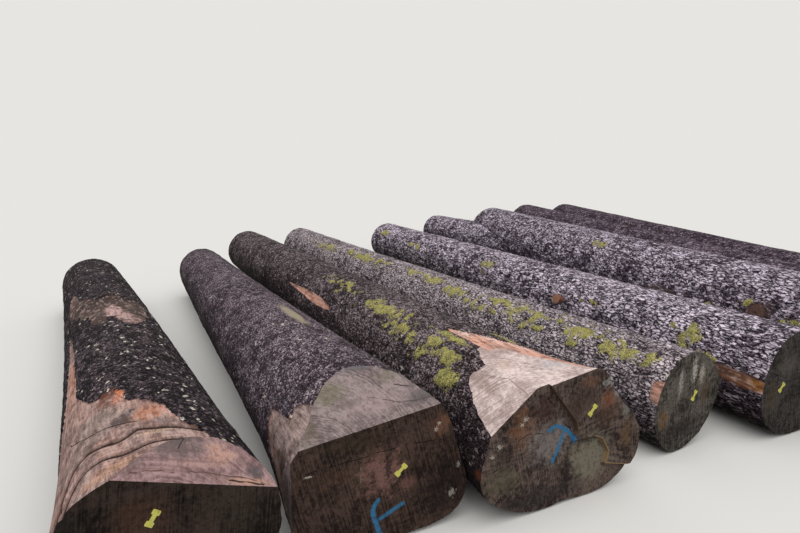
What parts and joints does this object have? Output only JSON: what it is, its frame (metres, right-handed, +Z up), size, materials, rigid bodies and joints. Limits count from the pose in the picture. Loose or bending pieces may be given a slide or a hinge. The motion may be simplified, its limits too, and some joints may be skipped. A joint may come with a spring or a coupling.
{
  "type": "row of sawlogs",
  "caption": "Long tapering tree trunks with bark, lying side by side on the ground, with sawn and bevelled butts and small blank tags.",
  "frame": {"origin": "centre of the row's footprint, on the ground that the logs lie on", "axes": "+X across the row, to the right as seen from the butts; +Y along the logs, from their butts to their top ends; +Z up"},
  "size_m": [6.886, 6.063, 0.7206],
  "materials": {
    "log_wood": "rough bark with weathered sawn ends",
    "tag_plastic": "plain yellow plastic"
  },
  "bodies": {
    "root": {"log_1": "log_wood", "log_2": "log_wood", "log_3": "log_wood", "log_4": "log_wood", "log_5": "log_wood", "log_6": "log_wood", "log_7": "log_wood", "log_8": "log_wood", "plate_1": "tag_plastic", "plate_2": "tag_plastic", "plate_3": "tag_plastic", "plate_4": "tag_plastic", "plate_5": "tag_plastic"}
  },
  "joints": []
}
